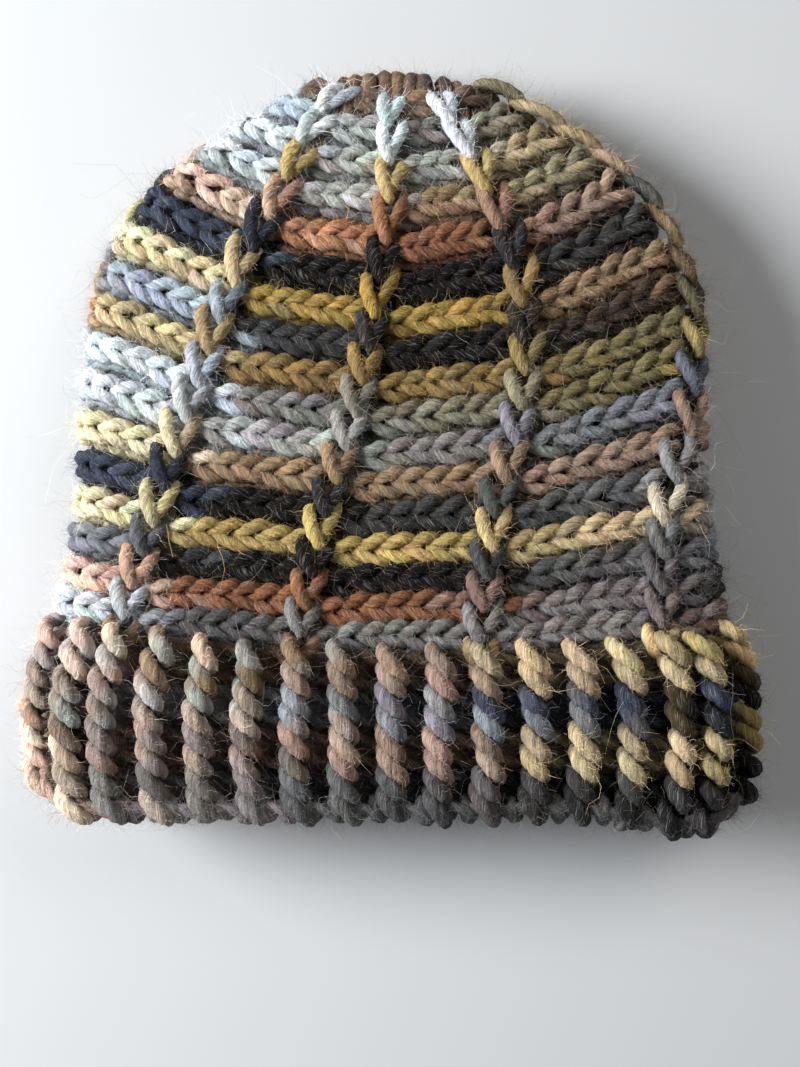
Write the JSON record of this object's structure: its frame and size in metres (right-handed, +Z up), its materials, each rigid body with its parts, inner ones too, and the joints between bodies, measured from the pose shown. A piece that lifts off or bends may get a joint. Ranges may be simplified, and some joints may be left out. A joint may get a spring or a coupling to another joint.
{
  "type": "crocheted beanie hat",
  "caption": "Thick crocheted beanie lying flat, worked in rounds with raised post columns, a closed crown and a wide ribbed brim that turns up over the body",
  "frame": {"origin": "centre of the hat's footprint, on the table it lies on", "axes": "+X across the hat along the brim, +Y from the mouth to the crown, +Z up from the table, through the front of the hat"},
  "size_m": [0.223, 0.226, 0.0457],
  "materials": {
    "grey_yarn": "fuzzy twisted wool-blend yarn, matt",
    "orange_yarn": "fuzzy twisted wool-blend yarn, matt",
    "black_yarn": "fuzzy twisted wool-blend yarn, matt",
    "yellow_yarn": "fuzzy twisted wool-blend yarn, matt",
    "navy_yarn": "fuzzy twisted wool-blend yarn, matt",
    "tan_yarn": "fuzzy twisted wool-blend yarn, matt",
    "pale_blue_yarn": "fuzzy twisted wool-blend yarn, matt",
    "olive_yarn": "fuzzy twisted wool-blend yarn, matt",
    "brown_yarn": "fuzzy twisted wool-blend yarn, matt",
    "mixed_yarn": "fuzzy twisted wool-blend yarn, matt"
  },
  "bodies": {
    "cap": {"body_round_01": "grey_yarn", "body_round_02": "orange_yarn", "body_round_03": "black_yarn", "body_round_04": "yellow_yarn", "body_round_05": "navy_yarn", "body_round_06": "tan_yarn", "body_round_07": "pale_blue_yarn", "body_round_08": "pale_blue_yarn", "body_round_09": "tan_yarn", "body_round_10": "grey_yarn", "body_round_11": "yellow_yarn", "body_round_12": "black_yarn", "body_round_13": "orange_yarn", "crown_round_1": "olive_yarn", "crown_round_2": "pale_blue_yarn", "crown_round_3": "grey_yarn", "crown_round_4": "tan_yarn", "crown_closing": "brown_yarn", "column_left_fold": "mixed_yarn", "column_right_fold": "mixed_yarn", "column_front_1": "mixed_yarn", "column_front_2": "mixed_yarn", "column_front_3": "mixed_yarn", "column_back_1": "mixed_yarn", "column_back_2": "mixed_yarn", "column_back_3": "mixed_yarn"},
    "brim": {"brim_round_1": "tan_yarn", "brim_round_2": "tan_yarn", "brim_round_3": "grey_yarn", "brim_round_4": "brown_yarn", "brim_edge": "brown_yarn", "brim_ribs": "mixed_yarn"}
  },
  "joints": [
    {"name": "brim_turn_up", "type": "slide", "parent": "cap", "child": "brim", "axis": [0, 1, 0], "range_m": [0, 0.046]}
  ]
}
